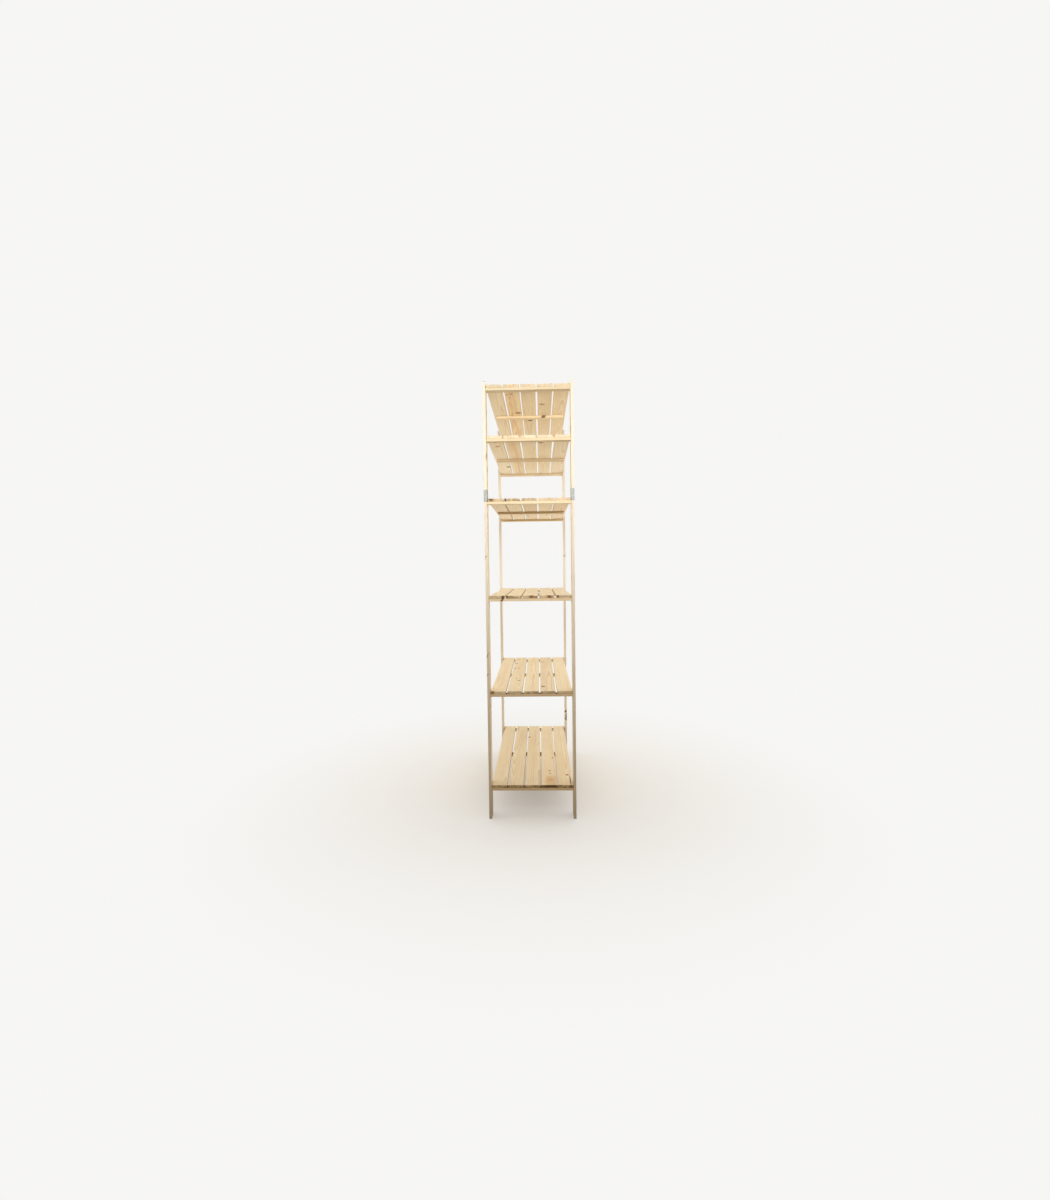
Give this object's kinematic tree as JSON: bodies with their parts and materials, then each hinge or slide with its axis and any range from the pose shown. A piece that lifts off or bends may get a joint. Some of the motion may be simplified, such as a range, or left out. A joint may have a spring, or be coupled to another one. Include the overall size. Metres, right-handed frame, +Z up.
{
  "type": "slatted shelving unit",
  "caption": "Tall free-standing shelving unit of pale pine: slatted shelves on cross battens between thin board posts, each post spliced by a folded steel connector.",
  "frame": {"origin": "on the floor, under the middle of the unit", "axes": "+X across the shelves, from the left posts to the right posts; +Y along the slats, away from the end that the picture shows; +Z up"},
  "size_m": [0.4086, 1.0026, 2],
  "materials": {
    "slat_pine": "planed, unfinished",
    "batten_pine": "planed, unfinished",
    "post_pine": "planed, unfinished",
    "galvanised_steel": "galvanised, satin"
  },
  "bodies": {
    "root": {"lower_post_front_left": "post_pine", "lower_post_front_right": "post_pine", "lower_post_rear_left": "post_pine", "lower_post_rear_right": "post_pine", "upper_post_front_left": "post_pine", "upper_post_front_right": "post_pine", "upper_post_rear_left": "post_pine", "upper_post_rear_right": "post_pine", "post_connector_front_left": "galvanised_steel", "post_connector_front_right": "galvanised_steel", "post_connector_rear_left": "galvanised_steel", "post_connector_rear_right": "galvanised_steel", "shelf_1_slat_1": "slat_pine", "shelf_1_slat_2": "slat_pine", "shelf_1_slat_3": "slat_pine", "shelf_1_slat_4": "slat_pine", "shelf_1_slat_5": "slat_pine", "shelf_1_front_batten": "batten_pine", "shelf_1_middle_batten": "batten_pine", "shelf_1_rear_batten": "batten_pine", "shelf_2_slat_1": "slat_pine", "shelf_2_slat_2": "slat_pine", "shelf_2_slat_3": "slat_pine", "shelf_2_slat_4": "slat_pine", "shelf_2_slat_5": "slat_pine", "shelf_2_front_batten": "batten_pine", "shelf_2_middle_batten": "batten_pine", "shelf_2_rear_batten": "batten_pine", "shelf_3_slat_1": "slat_pine", "shelf_3_slat_2": "slat_pine", "shelf_3_slat_3": "slat_pine", "shelf_3_slat_4": "slat_pine", "shelf_3_slat_5": "slat_pine", "shelf_3_front_batten": "batten_pine", "shelf_3_middle_batten": "batten_pine", "shelf_3_rear_batten": "batten_pine", "shelf_4_slat_1": "slat_pine", "shelf_4_slat_2": "slat_pine", "shelf_4_slat_3": "slat_pine", "shelf_4_slat_4": "slat_pine", "shelf_4_slat_5": "slat_pine", "shelf_4_front_batten": "batten_pine", "shelf_4_middle_batten": "batten_pine", "shelf_4_rear_batten": "batten_pine", "shelf_5_slat_1": "slat_pine", "shelf_5_slat_2": "slat_pine", "shelf_5_slat_3": "slat_pine", "shelf_5_slat_4": "slat_pine", "shelf_5_slat_5": "slat_pine", "shelf_5_front_batten": "batten_pine", "shelf_5_middle_batten": "batten_pine", "shelf_5_rear_batten": "batten_pine", "shelf_6_slat_1": "slat_pine", "shelf_6_slat_2": "slat_pine", "shelf_6_slat_3": "slat_pine", "shelf_6_slat_4": "slat_pine", "shelf_6_slat_5": "slat_pine", "shelf_6_front_batten": "batten_pine", "shelf_6_middle_batten": "batten_pine", "shelf_6_rear_batten": "batten_pine"}
  },
  "joints": []
}
